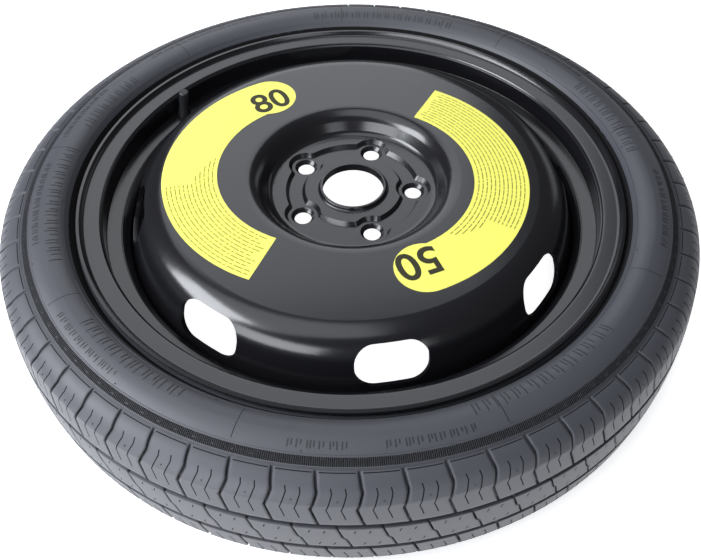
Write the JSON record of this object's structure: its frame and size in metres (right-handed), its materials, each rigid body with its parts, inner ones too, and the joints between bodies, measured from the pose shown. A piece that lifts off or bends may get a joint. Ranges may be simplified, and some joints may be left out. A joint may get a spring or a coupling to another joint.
{
  "type": "spare wheel",
  "caption": "Narrow temporary spare wheel: black pressed steel disc in a rolled rim, tubeless tyre with a grooved tread, snap-in valve and yellow speed labels.",
  "frame": {"origin": "on the wheel's axis, in the rim's middle plane", "axes": "+Z along the axis towards the outboard side, which faces up; +X and +Y across the wheel"},
  "size_m": [0.6322, 0.6322, 0.125],
  "materials": {
    "tyre_rubber": "moulded matt rubber",
    "black_steel": "semi-gloss black paint",
    "yellow_film": "printed film",
    "valve_rubber": "smooth moulded rubber",
    "valve_brass": "turned brass",
    "seal_rubber": "moulded rubber",
    "spring_steel": "drawn wire",
    "cap_plastic": "matt black plastic"
  },
  "bodies": {
    "wheel": {"tyre": "tyre_rubber", "rim": "black_steel", "wheel_disc": "black_steel", "weld_beads": "black_steel", "speed_label_80": "yellow_film", "speed_label_50": "yellow_film", "valve_rubber": "valve_rubber", "valve_stem": "valve_brass", "valve_core_barrel": "valve_brass", "valve_core_gasket": "seal_rubber", "valve_core_spring": "spring_steel"},
    "core_pin": {"valve_core_pin": "valve_brass", "valve_core_cup": "seal_rubber"},
    "cap_lift": {"valve_cap_seal": "seal_rubber"},
    "cap": {"valve_cap": "cap_plastic"}
  },
  "joints": [
    {"name": "valve_core_press", "type": "slide", "parent": "wheel", "child": "core_pin", "axis": [-0.1368, 0.1069, -0.9848], "range_m": [0, 0.0012], "stiffness_N_per_m": 800, "springref_m": -0.002, "deforming": ["valve_core_spring"]},
    {"name": "valve_cap_lift", "type": "slide", "parent": "wheel", "child": "cap_lift", "axis": [0.1368, -0.1069, 0.9848], "range_m": [0, 0.00635]},
    {"name": "valve_cap_turn", "type": "hinge", "parent": "cap_lift", "child": "cap", "pos_m": [-0.17273, 0.13495, 0.02483], "axis": [0.1368, -0.1069, 0.9848], "range_deg": [0, 2880]}
  ],
  "couplings": [
    {"joint": "valve_cap_turn", "follows": "valve_cap_lift", "rad_per_m": 7915.8}
  ]
}
